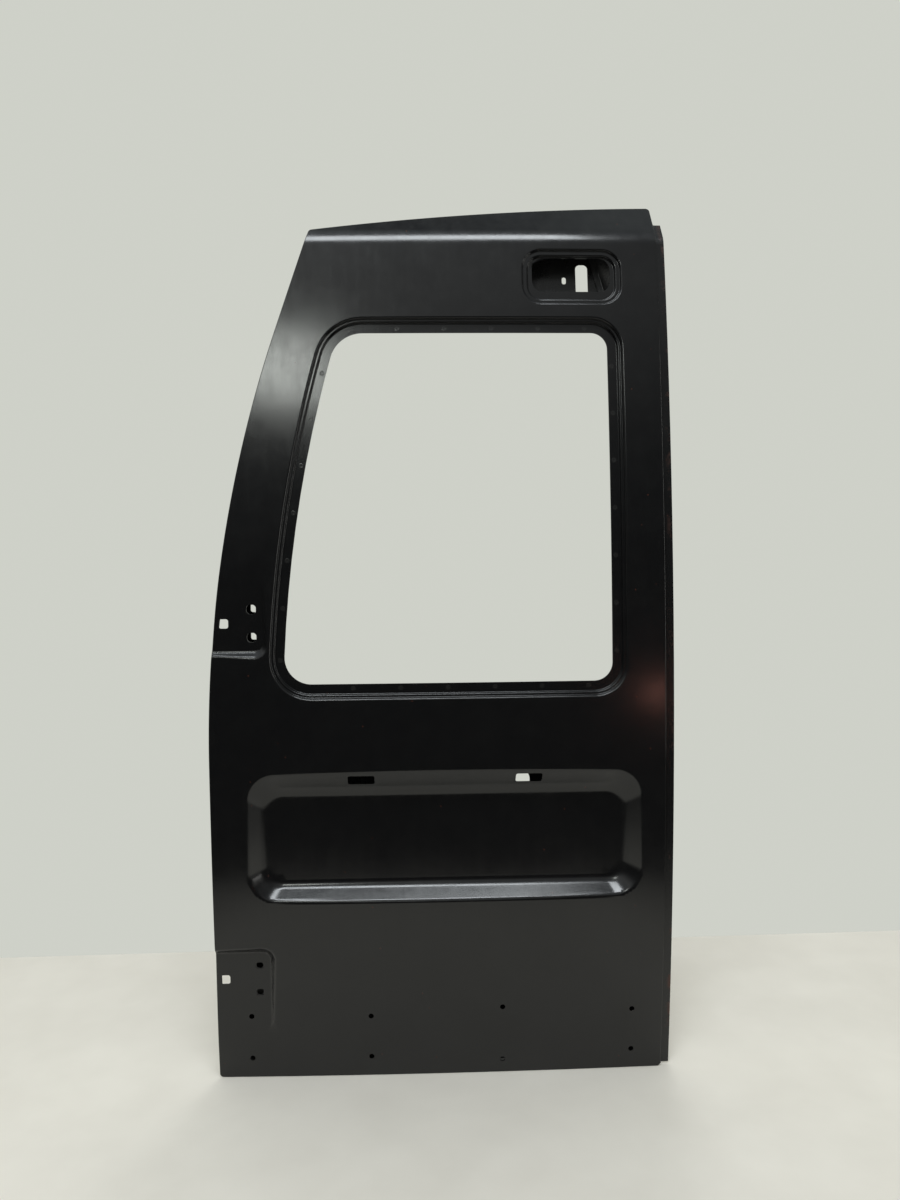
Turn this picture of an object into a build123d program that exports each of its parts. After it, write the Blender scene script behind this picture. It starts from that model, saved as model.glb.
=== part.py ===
from build123d import *
import math
import os

# Left rear barn door of a small van, as a bare pressed shell: a crowned outer skin is hemmed round a
# deep-drawn inner panel, with rails and plates welded between them.
# Millimetres. X runs from the hinge edge to the closing edge, Y into the vehicle, Z up.
# Widths are taken from the hinge edge, heights from the bottom edge, depths from the outer face.

# Overall outline
DOOR_HEIGHT = 1344.5
SKIN_WIDTH = 686.0
EDGE_BEND_HEIGHT = 822.0
EDGE_LEAN = 18.0
EDGE_BEND_RADIUS = 2083.0
ROOF_RADIUS = 4220.0
ROOF_APEX_PAST_EDGE = 91.0
SKIN_CORNER_RADIUS = 6.0

# Crown of the outer face and the roll under the roof line
SIDE_RADIUS = 4787.0
SIDE_APEX_HEIGHT = 408.0
PLAN_RADIUS = 11900.0
PLAN_APEX_WIDTH = 560.0
ROLL_DROP = 64.5
ROLL_RADIUS = 40.0
ROLL_TURN = 26.0

# Sheets, hem and weld fit
SKIN_SHEET = 0.8
PANEL_SHEET = 0.8
HEM_WIDTH = 6.5
HEM_GAP = 0.1
WELD_GAP = 0.05

# Window opening and its two-step rebate
WINDOW_SILL_HEIGHT = 612.0
WINDOW_TOP_DROP = 205.5
WINDOW_SILL_LEFT = 112.0
WINDOW_TOP_LEFT = 197.0
WINDOW_BOW = 17.0
WINDOW_RIGHT = 607.0
WINDOW_RADIUS_TOP_LEFT = 50.0
WINDOW_RADIUS_TOP_RIGHT = 25.0
WINDOW_RADIUS_SILL_RIGHT = 28.0
WINDOW_RADIUS_SILL_LEFT = 40.0
REBATE_FLANGE = 15.0
REBATE_LAND = 5.0
REBATE_LAND_DEPTH = 5.6
REBATE_DEPTH = 11.0
REBATE_RIM_RADIUS = 3.4
REBATE_LAND_RIM_RADIUS = 2.0
REBATE_ROOT_RADIUS = 1.5

# High stop-lamp pocket
LAMP_WIDTH_PLACE = 554.0
LAMP_DROP = 120.5
LAMP_POCKET_WIDTH = 150.0
LAMP_POCKET_HEIGHT = 84.0
LAMP_POCKET_RADIUS = 29.0
LAMP_RING = 8.0
LAMP_RING_DEPTH = 4.0
LAMP_SEAT_DEPTH = 8.5
LAMP_RIM_RADIUS = 2.5
LAMP_HOLE_WIDTH = 120.0
LAMP_HOLE_HEIGHT = 53.0
LAMP_HOLE_RADIUS = 17.0
LAMP_HOLE_RISE = 6.0

# Number-plate recess and the two lamp slots in its upper wall
PLATE_WIDTH_PLACE = 352.0
PLATE_HEIGHT_PLACE = 374.5
PLATE_FLOOR_WIDTH = 548.0
PLATE_FLOOR_HEIGHT = 143.0
PLATE_FLOOR_RADIUS = 28.0
PLATE_DEPTH = 25.0
PLATE_SIDE_RUN = 28.0
PLATE_TOP_RUN = 37.0
PLATE_BOTTOM_RUN = 22.0
PLATE_RIM_RADIUS = 44.0
PLATE_RIM_ROLL = 7.0
PLATE_ROOT_ROLL = 13.0
PLATE_LAMP_PITCH = 253.0
PLATE_LAMP_WIDTH = 40.0
PLATE_LAMP_HEIGHT = 15.0
PLATE_LAMP_RADIUS = 3.0
PLATE_LAMP_RISE = 21.0

# Hinge pads: flat recesses open to the hinge edge, both in one plane
LOWER_HINGE_HEIGHT = 158.5
UPPER_HINGE_HEIGHT = 704.5
HINGE_CENTRE_WIDTH = 40.5
PAD_DEPTH = 25.0
PAD_WIDTH = 82.0
PAD_REACH = 42.0
PAD_FADE = 190.0
PAD_SLOPE_RUN = 40.0
PAD_CORNER_RADIUS = 12.0
HINGE_BOLT_PITCH = 42.0
HINGE_BOLT_WIDTH = 66.0
HINGE_EDGE_BOLT_INSET = 14.0
HINGE_HOLE = 14.0
HINGE_HOLE_RADIUS = 3.5
LOWER_BOLT_HOLE_WIDTH = 12.0
LOWER_BOLT_HOLE_HEIGHT = 9.5
LOWER_BOLT_HOLE_RADIUS = 2.0
HINGE_PLATE_SHEET = 2.0
HINGE_PLATE_HEIGHT = 70.0
UPPER_PLATE_BOLT_HOLE = 15.0
LOWER_PLATE_BOLT_HOLE = 10.5
HINGE_PLATE_MARGIN = 1.5

# Clip holes for the lower trim
TRIM_HOLE = 8.0
TRIM_COLUMNS = (52.0, 235.0, 638.0)
TRIM_WIDE_COLUMN = 437.0
TRIM_LOW_HEIGHT = 32.0
TRIM_HIGH_HEIGHT = 99.0
TRIM_WIDE_SPREAD = 10.0

# Inner panel: depth and how far its walls stand in from the outline
PANEL_DEPTH = 44.0
PANEL_HINGE_INSET = 28.0
PANEL_TOP_INSET = 20.0
PANEL_CLOSING_INSET = 26.0
PANEL_BOTTOM_INSET = 22.0
PANEL_CORNER_RADIUS = 30.0
PANEL_ROLL = 6.0
PANEL_WINDOW_FLANGE = 13.0

# Openings in the inner panel
ACCESS_WIDTH = 190.0
ACCESS_HEIGHT = 150.0
ACCESS_RADIUS = 28.0
ACCESS_PITCH = 262.0
ACCESS_WIDTH_PLACE = 345.0
ACCESS_HEIGHT_PLACE = 352.0
WIRING_HOLE_WIDTH = 52.0
WIRING_HOLE_HEIGHT = 30.0
WIRING_HOLE_RADIUS = 14.0
WIRING_HOLE_FROM_LAMP = 20.5
WIRING_HOLE_DROP = 12.0
LAMP_SLOT_WIDTH = 19.0
LAMP_SLOT_HEIGHT = 62.0
LAMP_SLOT_RADIUS = 7.0
LAMP_SLOT_OFFSET = 23.5
LAMP_SCREW_SLOT_WIDTH = 6.5
LAMP_SCREW_SLOT_HEIGHT = 11.0
LAMP_SCREW_OFFSET = 28.0
LAMP_SCREW_RISE = 5.5
HINGE_ACCESS_HOLE = 18.0
HINGE_ACCESS_OFFSET = 7.0
HINGE_ACCESS_PITCH = 36.0
CLIP_HOLE = 8.5
CLIP_INSET = 30.0
CLIP_ROW_HEIGHTS = (60.0, 300.0, 480.0)

# Stiffening beads pressed into the inner panel below the lower rail
BEAD_LENGTH = 460.0
BEAD_HEIGHT = 22.0
BEAD_DEPTH = 5.0
BEAD_ROLL = 2.5
BEAD_HEIGHTS = (98.0, 168.0)

# Closing flange
FLANGE_REACH = 14.0
FLANGE_LAP = 18.0
FLANGE_SHEET = 1.0
FLANGE_DEPTH = 7.0
FLANGE_TOP_DROP = 31.0
FLANGE_FOOT = 3.0

# Rails welded inside the inner panel
RAIL_SHEET = 1.0
RAIL_FLANGE = 14.0
RAIL_CROWN_GAP = 4.0
RAIL_END_GAP = 10.0
WAIST_RAIL_HEIGHT_PLACE = 545.0
WAIST_RAIL_HEIGHT = 48.0
LOWER_RAIL_HEIGHT_PLACE = 246.0
LOWER_RAIL_HEIGHT = 36.0

# Latch, striker and check-strap plates
LATCH_SHEET = 2.0
LATCH_PLATE_WIDTH = 52.0
LATCH_PLATE_HEIGHT = 80.0
LATCH_OPENING_WIDTH = 28.0
LATCH_OPENING_HEIGHT = 30.0
LATCH_OPENING_RADIUS = 8.0
LATCH_BOLT_PITCH = 58.0
LATCH_BOLT_HOLE = 7.0
LATCH_WALL_GAP = 9.0
LOWER_LATCH_HEIGHT = 123.0
UPPER_LATCH_DROP = 78.0
STRIKER_HEIGHT = 560.0
STRIKER_PLATE_HEIGHT = 96.0
STRIKER_PLATE_DEPTH = 26.0
STRIKER_SHEET = 5.0
STRIKER_BOLT_PITCH = 44.0
STRIKER_BOLT_HOLE = 8.5
CHECK_HEIGHT = 420.0
CHECK_PLATE_HEIGHT = 84.0
CHECK_PLATE_DEPTH = 28.0
CHECK_SHEET = 2.0
CHECK_SLOT_WIDTH = 10.0
CHECK_SLOT_HEIGHT = 30.0
CHECK_SLOT_RADIUS = 3.0
CHECK_BOLT_PITCH = 60.0
CHECK_BOLT_HOLE = 7.0

# How far cutting and pressing forms run past the sheet, the depths they span, and how near an edge
# lies to count as the same edge
OVERRUN = 60.0
FRONT = -200.0
BACK = 330.0
PRESS_CLEARANCE = 12.5
EDGE_MATCH = 0.1

# Levels that follow from the sizes above
ROLL_HEIGHT = DOOR_HEIGHT - ROLL_DROP
WINDOW_TOP_HEIGHT = DOOR_HEIGHT - WINDOW_TOP_DROP
LAMP_HEIGHT_PLACE = DOOR_HEIGHT - LAMP_DROP
HEM_STACK = 2 * SKIN_SHEET + PANEL_SHEET + 2 * HEM_GAP
UPPER_LATCH_HEIGHT = DOOR_HEIGHT - UPPER_LATCH_DROP
CLOSING_WALL_WIDTH = SKIN_WIDTH - PANEL_CLOSING_INSET
LATCH_WIDTH_PLACE = CLOSING_WALL_WIDTH - PANEL_SHEET - LATCH_WALL_GAP - LATCH_PLATE_WIDTH / 2
WALL_HOLE_DEPTH = PANEL_DEPTH / 2


def face_depth(width, height):
    """Depth of the outer face below its most proud point, under the roll."""
    side = SIDE_RADIUS - math.sqrt(SIDE_RADIUS**2 - (height - SIDE_APEX_HEIGHT) ** 2)
    reach = PLAN_RADIUS - side
    return PLAN_RADIUS - math.sqrt(reach**2 - (width - PLAN_APEX_WIDTH) ** 2)


def behind(inset, rolled=True):
    """All the space behind the outer face moved in by inset, with or without the roll at the top."""
    radius = SIDE_RADIUS - inset

    def on_side(angle):
        depth = SIDE_RADIUS - radius * math.cos(angle)
        return Vector(PLAN_APEX_WIDTH, depth, SIDE_APEX_HEIGHT + radius * math.sin(angle))

    top = DOOR_HEIGHT + OVERRUN
    low_angle = math.asin((-OVERRUN - SIDE_APEX_HEIGHT) / radius)
    end_level = ROLL_HEIGHT if rolled else top
    end_angle = math.asin((end_level - SIDE_APEX_HEIGHT) / SIDE_RADIUS)
    start = on_side(low_angle)
    end = on_side(end_angle)
    edges = [
        ThreePointArc(start, on_side(low_angle / 2), on_side(0)),
        ThreePointArc(on_side(0), on_side(end_angle / 2), end),
    ]
    if rolled:
        roll = ROLL_RADIUS - inset
        turn = math.radians(ROLL_TURN)
        centre = end + Vector(0, math.cos(end_angle), -math.sin(end_angle)) * roll

        def on_roll(angle):
            return centre + Vector(0, -math.cos(angle), math.sin(angle)) * roll

        lip_angle = end_angle + turn
        lip_start = on_roll(lip_angle)
        edges.append(ThreePointArc(end, on_roll(end_angle + turn / 2), lip_start))
        rise = top - lip_start.Z
        end = lip_start + Vector(0, rise * math.tan(lip_angle), rise)
        edges.append(Line(lip_start, end))
    corners = [end, (PLAN_APEX_WIDTH, BACK, end.Z), (PLAN_APEX_WIDTH, BACK, start.Z), start]
    edges.append(Polyline(*corners))
    profile = make_face(edges)
    half_swing = math.degrees(math.asin((PLAN_APEX_WIDTH + OVERRUN) / (PLAN_RADIUS - BACK)))
    axis = Axis((PLAN_APEX_WIDTH, PLAN_RADIUS, 0), (0, 0, 1))
    return revolve(profile.rotate(axis, -half_swing), axis, 2 * half_swing)


def prism(sketch, front=FRONT, back=BACK):
    """A flat outline, drawn in width and height, carried through the door's depth."""
    return extrude(Plane.XZ.offset(-front) * sketch, amount=front - back)


def layer(sketch, front_inset, back_inset, rolled=True):
    """A sheet that follows the outer face between two insets."""
    return prism(sketch) & behind(front_inset, rolled) - behind(back_inset, rolled)


def edge_width(height):
    """How far in the hinge edge stands at a height below its straight lean."""
    start = EDGE_BEND_HEIGHT - EDGE_BEND_RADIUS * math.tan(math.radians(EDGE_LEAN) / 2)
    rise = max(height - start, 0)
    return EDGE_BEND_RADIUS - math.sqrt(EDGE_BEND_RADIUS**2 - rise**2)


def door_outline(hinge, top, closing, bottom, corner):
    """The door's outline moved in by its own amount on each side, with rounded corners."""
    lean = math.radians(EDGE_LEAN)
    bend_height = EDGE_BEND_HEIGHT - hinge * math.tan(lean / 2)
    above = DOOR_HEIGHT + OVERRUN
    lean_width = hinge + (above - bend_height) * math.tan(lean)
    right = SKIN_WIDTH - closing
    points = [(hinge, bottom), (hinge, bend_height), (lean_width, above), (right, above), (right, bottom)]
    panel = make_face(Polyline(*points, close=True))
    bend = panel.vertices().sort_by_distance((hinge, bend_height))[0]
    panel = fillet(bend, EDGE_BEND_RADIUS - hinge)
    roof_centre = DOOR_HEIGHT - math.sqrt(ROOF_RADIUS**2 - ROOF_APEX_PAST_EDGE**2)
    roof = Pos(SKIN_WIDTH + ROOF_APEX_PAST_EDGE, roof_centre) * Circle(ROOF_RADIUS - top)
    panel = panel & roof
    ends = panel.vertices().filter_by(lambda v: v.Y < bottom + corner or v.Y > ROLL_HEIGHT - OVERRUN)
    return fillet(ends, corner)


def tangent_plane(width, height):
    """Plane that touches the outer face at one place, looking outwards, with its second axis upwards."""
    side = math.asin((height - SIDE_APEX_HEIGHT) / SIDE_RADIUS)
    plan = math.asin((width - PLAN_APEX_WIDTH) / PLAN_RADIUS)
    out = (math.sin(plan) * math.cos(side), -math.cos(plan) * math.cos(side), math.sin(side))
    place = (width, face_depth(width, height), height)
    return Plane(place, x_dir=(math.cos(plan), math.sin(plan), 0), z_dir=out)


def floor_edges(form):
    """The edges round the deep end of a form that reaches in from the front."""
    box = form.bounding_box()
    middle = (box.min.Y + box.max.Y) / 2
    return form.edges().filter_by(lambda edge: min((edge @ 0).Y, (edge @ 1).Y) > middle)


def press(block, tool, rim, root):
    """Push a tool into a block, then round the rim and the root that it leaves."""
    root_places = [edge.center() for edge in floor_edges(tool)]
    pressed = block - tool
    pressed = fillet(new_edges(block, tool, combined=pressed), rim)

    def at_root(edge):
        return min((edge.center() - place).length for place in root_places) < EDGE_MATCH

    return fillet(pressed.edges().filter_by(at_root), root)


def window_outline(grow=0.0):
    """The window opening's outline, grown outwards."""
    corners = [
        (WINDOW_SILL_LEFT, WINDOW_SILL_HEIGHT),
        (WINDOW_TOP_LEFT, WINDOW_TOP_HEIGHT),
        (WINDOW_RIGHT, WINDOW_TOP_HEIGHT),
        (WINDOW_RIGHT, WINDOW_SILL_HEIGHT),
    ]
    radii = [
        WINDOW_RADIUS_SILL_LEFT,
        WINDOW_RADIUS_TOP_LEFT,
        WINDOW_RADIUS_TOP_RIGHT,
        WINDOW_RADIUS_SILL_RIGHT,
    ]
    side = SagittaArc(corners[0], corners[1], WINDOW_BOW)
    rest = Polyline(corners[1], corners[2], corners[3], corners[0])
    window = make_face([side, rest])
    for corner, radius in zip(corners, radii):
        window = fillet(window.vertices().sort_by_distance(corner)[0], radius)
    return offset(window, grow) if grow else window


def window_step(reach, depth, inset):
    """One step of the window rebate, as the solid that presses it."""
    return prism(window_outline(reach + inset)) - behind(depth + inset)


def lamp_step(ring, depth, inset):
    """One step of the stop-lamp pocket, as the solid that presses it."""
    width = LAMP_POCKET_WIDTH - 2 * ring + 2 * inset
    height = LAMP_POCKET_HEIGHT - 2 * ring + 2 * inset
    plane = tangent_plane(LAMP_WIDTH_PLACE, LAMP_HEIGHT_PLACE)
    floor = RectangleRounded(width, height, LAMP_POCKET_RADIUS - ring + inset)
    return extrude(plane.offset(-depth - inset) * floor, amount=OVERRUN)


def plate_recess(inset):
    """The number-plate recess with its sloped walls, as the solid that presses it."""
    plane = tangent_plane(PLATE_WIDTH_PLACE, PLATE_HEIGHT_PLACE)

    def section(rise):
        share = rise / PLATE_DEPTH
        width = PLATE_FLOOR_WIDTH + 2 * PLATE_SIDE_RUN * share
        height = PLATE_FLOOR_HEIGHT + (PLATE_TOP_RUN + PLATE_BOTTOM_RUN) * share
        radius = PLATE_FLOOR_RADIUS + (PLATE_RIM_RADIUS - PLATE_FLOOR_RADIUS) * share
        lift = (PLATE_TOP_RUN - PLATE_BOTTOM_RUN) / 2 * share
        return plane.offset(rise - PLATE_DEPTH) * Pos(0, lift) * RectangleRounded(width, height, radius)

    return Pos(0, inset, 0) * loft([section(0), section(PLATE_DEPTH + PRESS_CLEARANCE)], ruled=True)


def hinge_pad(height, step_below, inset):
    """One hinge pad, as the solid that presses it: flat, with sloped steps at one end and one side."""

    def section(rise):
        right = PAD_WIDTH + rise
        low = height - PAD_REACH - rise if step_below else height - PAD_FADE
        high = height + PAD_FADE if step_below else height + PAD_REACH + rise
        points = [(-OVERRUN, low), (right, low), (right, high), (-OVERRUN, high)]
        pad = make_face(Polyline(*points, close=True))
        corner = pad.vertices().sort_by_distance((right, low if step_below else high))[0]
        return Plane.XZ.offset(rise - PAD_DEPTH - inset) * fillet(corner, PAD_CORNER_RADIUS + rise)

    return loft([section(0), section(PAD_SLOPE_RUN)], ruled=True)


def edge_block(inset):
    """The outer face moved in by inset, with both hinge pads pressed into it."""
    block = behind(inset) - hinge_pad(UPPER_HINGE_HEIGHT, True, inset)
    return block - hinge_pad(LOWER_HINGE_HEIGHT, False, inset)


def skin_block(inset, margin):
    """The outer face moved in by inset, trimmed past the outline, with every recess pressed into it."""
    land_rim = REBATE_LAND_RIM_RADIUS - inset
    lamp_rim = LAMP_RIM_RADIUS - inset
    root = REBATE_ROOT_RADIUS + inset
    trim = door_outline(-margin, -margin, -margin, -margin, SKIN_CORNER_RADIUS)
    block = behind(inset) & prism(trim)
    land = window_step(REBATE_FLANGE + REBATE_LAND, REBATE_LAND_DEPTH, inset)
    block = press(block, land, REBATE_RIM_RADIUS - inset, root)
    block = press(block, window_step(REBATE_FLANGE, REBATE_DEPTH, inset), land_rim, root)
    block = press(block, lamp_step(0, LAMP_RING_DEPTH, inset), lamp_rim, root)
    block = press(block, lamp_step(LAMP_RING, LAMP_SEAT_DEPTH, inset), lamp_rim, root)
    block = press(block, plate_recess(inset), PLATE_RIM_ROLL - inset, PLATE_ROOT_ROLL + inset)
    block = block - hinge_pad(UPPER_HINGE_HEIGHT, True, inset)
    return block - hinge_pad(LOWER_HINGE_HEIGHT, False, inset)


def even_outline(inset):
    """The door's outline moved in by the same amount all round."""
    return door_outline(inset, inset, inset, inset, SKIN_CORNER_RADIUS)


def hem():
    """The skin's edge, folded back flat behind the inner panel's flange."""
    ring = prism(even_outline(0) - even_outline(HEM_WIDTH))
    slot = prism(even_outline(SKIN_SHEET) - even_outline(HEM_WIDTH + OVERRUN))
    fold = ring & edge_block(SKIN_SHEET / 2) - edge_block(HEM_STACK)
    return fold - (slot - edge_block(HEM_STACK - SKIN_SHEET))


def hinge_holes(height, bolt_hole):
    """Outlines of one hinge's three bolt holes in the skin: two inboard and one near the edge."""
    places = [Pos(HINGE_BOLT_WIDTH, height + side * HINGE_BOLT_PITCH / 2) for side in (-1, 1)]
    edge_place = Pos(edge_width(height) + HINGE_EDGE_BOLT_INSET, height)
    edge_hole = RectangleRounded(HINGE_HOLE, HINGE_HOLE, HINGE_HOLE_RADIUS)
    return Sketch() + [place * bolt_hole for place in places] + edge_place * edge_hole


def hinge_bolts():
    """The bolt holes of both hinges, carried through the door's depth."""
    upper = RectangleRounded(HINGE_HOLE, HINGE_HOLE, HINGE_HOLE_RADIUS)
    lower = RectangleRounded(LOWER_BOLT_HOLE_WIDTH, LOWER_BOLT_HOLE_HEIGHT, LOWER_BOLT_HOLE_RADIUS)
    return prism(hinge_holes(UPPER_HINGE_HEIGHT, upper) + hinge_holes(LOWER_HINGE_HEIGHT, lower))


def trim_holes():
    """Outlines of the clip holes for the lower trim, in four columns of two."""
    middle = (TRIM_LOW_HEIGHT + TRIM_HIGH_HEIGHT) / 2
    spread = (TRIM_HIGH_HEIGHT - TRIM_LOW_HEIGHT) / 2
    columns = [(width, spread) for width in TRIM_COLUMNS]
    columns.append((TRIM_WIDE_COLUMN, spread + TRIM_WIDE_SPREAD))
    places = [Pos(width, middle + side * half) for width, half in columns for side in (-1, 1)]
    return Sketch() + [place * Circle(TRIM_HOLE / 2) for place in places]


def plate_lamp_slots():
    """Outlines of the two lamp slots in the upper wall of the number-plate recess."""
    height = PLATE_HEIGHT_PLACE + PLATE_FLOOR_HEIGHT / 2 + PLATE_LAMP_RISE
    slot = RectangleRounded(PLATE_LAMP_WIDTH, PLATE_LAMP_HEIGHT, PLATE_LAMP_RADIUS)
    places = [PLATE_WIDTH_PLACE + side * PLATE_LAMP_PITCH / 2 for side in (-1, 1)]
    return Sketch() + [Pos(place, height) * slot for place in places]


def outer_skin():
    """The pressed and hemmed outer skin."""
    sheet = skin_block(0, 0) - skin_block(SKIN_SHEET, HEM_WIDTH)
    lamp_plane = tangent_plane(LAMP_WIDTH_PLACE, LAMP_HEIGHT_PLACE)
    lamp_hole = RectangleRounded(LAMP_HOLE_WIDTH, LAMP_HOLE_HEIGHT, LAMP_HOLE_RADIUS)
    lamp_face = lamp_plane * Pos(0, LAMP_HOLE_RISE) * lamp_hole
    sheet = sheet - prism(window_outline()) - extrude(lamp_face, amount=OVERRUN, both=True)
    sheet = sheet - prism(plate_lamp_slots() + trim_holes()) - hinge_bolts()
    return sheet + hem()


def panel_outline(sheet):
    """Where the inner panel's walls stand, moved in by a sheet's thickness."""
    return door_outline(
        PANEL_HINGE_INSET + sheet,
        PANEL_TOP_INSET + sheet,
        PANEL_CLOSING_INSET + sheet,
        PANEL_BOTTOM_INSET + sheet,
        PANEL_CORNER_RADIUS - sheet,
    )


def panel_beads(sheet):
    """The inner panel's stiffening beads, as the solids that press them from inside the vehicle."""
    bead = SlotOverall(BEAD_LENGTH + 2 * sheet, BEAD_HEIGHT + 2 * sheet)
    beads = Sketch() + [Pos(ACCESS_WIDTH_PLACE, height) * bead for height in BEAD_HEIGHTS]
    return prism(beads) & behind(PANEL_DEPTH - BEAD_DEPTH - sheet, rolled=False)


def panel_form(sheet):
    """The inner panel's form filled from the front: its outer faces, or the hollow a sheet inside."""
    form = prism(panel_outline(sheet) - window_outline(PANEL_WINDOW_FLANGE + sheet))
    form = form - behind(PANEL_DEPTH - sheet, rolled=False)
    form = fillet(floor_edges(form), PANEL_ROLL - sheet)
    beads = panel_beads(sheet)
    beaded = form - beads
    return fillet(new_edges(form, beads, combined=beaded), BEAD_ROLL - sheet)


def latch_opening(height):
    """Outline of one latch's opening beside the closing wall."""
    opening = RectangleRounded(LATCH_OPENING_WIDTH, LATCH_OPENING_HEIGHT, LATCH_OPENING_RADIUS)
    return Pos(LATCH_WIDTH_PLACE, height) * opening


def latch_bolts(height):
    """Outlines of the two bolt holes above and below one latch's opening."""
    hole = Circle(LATCH_BOLT_HOLE / 2)
    places = [height - LATCH_BOLT_PITCH / 2, height + LATCH_BOLT_PITCH / 2]
    return Sketch() + [Pos(LATCH_WIDTH_PLACE, place) * hole for place in places]


def panel_openings():
    """Outlines of every opening in the inner panel's face."""
    access = RectangleRounded(ACCESS_WIDTH, ACCESS_HEIGHT, ACCESS_RADIUS)
    access_places = [ACCESS_WIDTH_PLACE + side * ACCESS_PITCH / 2 for side in (-1, 1)]
    cuts = [Pos(place, ACCESS_HEIGHT_PLACE) * access for place in access_places]
    wiring_width = PLATE_WIDTH_PLACE + PLATE_LAMP_PITCH / 2 - WIRING_HOLE_FROM_LAMP
    wiring_height = PLATE_HEIGHT_PLACE + PLATE_FLOOR_HEIGHT / 2 + PLATE_LAMP_RISE - WIRING_HOLE_DROP
    wiring = RectangleRounded(WIRING_HOLE_WIDTH, WIRING_HOLE_HEIGHT, WIRING_HOLE_RADIUS)
    cuts.append(Pos(wiring_width, wiring_height) * wiring)
    lamp_slot = RectangleRounded(LAMP_SLOT_WIDTH, LAMP_SLOT_HEIGHT, LAMP_SLOT_RADIUS)
    lamp_slot_width = LAMP_WIDTH_PLACE + LAMP_SLOT_OFFSET
    cuts.append(Pos(lamp_slot_width, LAMP_HEIGHT_PLACE) * lamp_slot)
    lamp_screw = SlotOverall(LAMP_SCREW_SLOT_HEIGHT, LAMP_SCREW_SLOT_WIDTH, rotation=90)
    lamp_screw_height = LAMP_HEIGHT_PLACE + LAMP_SCREW_RISE
    cuts.append(Pos(lamp_slot_width - LAMP_SCREW_OFFSET, lamp_screw_height) * lamp_screw)
    hinge_access = Circle(HINGE_ACCESS_HOLE / 2)
    for side in (-1, 1):
        access_height = UPPER_HINGE_HEIGHT + side * HINGE_ACCESS_PITCH / 2
        cuts.append(Pos(HINGE_BOLT_WIDTH + HINGE_ACCESS_OFFSET, access_height) * hinge_access)
    for width in (PANEL_HINGE_INSET + CLIP_INSET, CLOSING_WALL_WIDTH - CLIP_INSET):
        cuts += [Pos(width, height) * Circle(CLIP_HOLE / 2) for height in CLIP_ROW_HEIGHTS]
    for latch in (LOWER_LATCH_HEIGHT, UPPER_LATCH_HEIGHT):
        cuts += [latch_opening(latch), latch_bolts(latch)]
    return Sketch() + cuts


def wall_plane(width, height):
    """Plane on an upright side wall of the inner panel, halfway through its depth."""
    place = (width, face_depth(width, height) + WALL_HOLE_DEPTH, height)
    return Plane(place, x_dir=(0, 1, 0), z_dir=(1, 0, 0))


def wall_holes(plane, pitch, hole):
    """Two bolt holes, one above the other, through a side wall and the plate behind it."""
    face = Sketch() + [Pos(0, side * pitch / 2) * Circle(hole / 2) for side in (-1, 1)]
    return extrude(plane * face, amount=OVERRUN, both=True)


def striker_holes():
    """The striker's bolt holes through the closing wall."""
    plane = wall_plane(CLOSING_WALL_WIDTH, STRIKER_HEIGHT)
    return wall_holes(plane, STRIKER_BOLT_PITCH, STRIKER_BOLT_HOLE)


def check_cuts():
    """The check strap's slot and bolt holes through the hinge wall."""
    plane = wall_plane(PANEL_HINGE_INSET, CHECK_HEIGHT)
    slot = RectangleRounded(CHECK_SLOT_WIDTH, CHECK_SLOT_HEIGHT, CHECK_SLOT_RADIUS)
    strap = extrude(plane * slot, amount=OVERRUN, both=True)
    return strap + wall_holes(plane, CHECK_BOLT_PITCH, CHECK_BOLT_HOLE)


def inner_panel():
    """The deep-drawn inner panel with its edge flange and its window flange."""
    front = SKIN_SHEET + HEM_GAP
    sill = REBATE_DEPTH + SKIN_SHEET + WELD_GAP
    tray = panel_form(0) & edge_block(front)
    tray = tray - panel_form(PANEL_SHEET)
    window_front = prism(window_outline(PANEL_WINDOW_FLANGE + 2 * PANEL_SHEET)) - behind(sill)
    tray = tray - window_front
    edge_ring = prism(even_outline(front) - panel_outline(PANEL_SHEET))
    edge_flange = edge_ring & edge_block(front) - edge_block(front + PANEL_SHEET)
    window_ring = window_outline(PANEL_WINDOW_FLANGE + PANEL_SHEET) - window_outline()
    window_flange = layer(window_ring, sill, sill + PANEL_SHEET)
    panel = tray + edge_flange + window_flange
    return panel - prism(panel_openings()) - hinge_bolts() - striker_holes() - check_cuts()


def closing_flange():
    """The joggled strip along the closing edge that the other door shuts against."""
    foot = FLANGE_FOOT
    head = DOOR_HEIGHT - FLANGE_TOP_DROP
    seat = HEM_STACK + WELD_GAP

    def band(left, right):
        return Pos((left + right) / 2, (foot + head) / 2) * Rectangle(right - left, head - foot)

    lap_left = SKIN_WIDTH - FLANGE_LAP
    lip_right = SKIN_WIDTH + FLANGE_REACH
    joggle = SKIN_WIDTH + FLANGE_SHEET
    strip = layer(band(lap_left, lip_right), seat, FLANGE_DEPTH + FLANGE_SHEET)
    lap_band = band(lap_left - OVERRUN, SKIN_WIDTH)
    strip = strip - layer(lap_band, seat + FLANGE_SHEET, FLANGE_DEPTH + 2 * FLANGE_SHEET)
    return strip - layer(band(joggle, lip_right + OVERRUN), 0, FLANGE_DEPTH)


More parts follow.
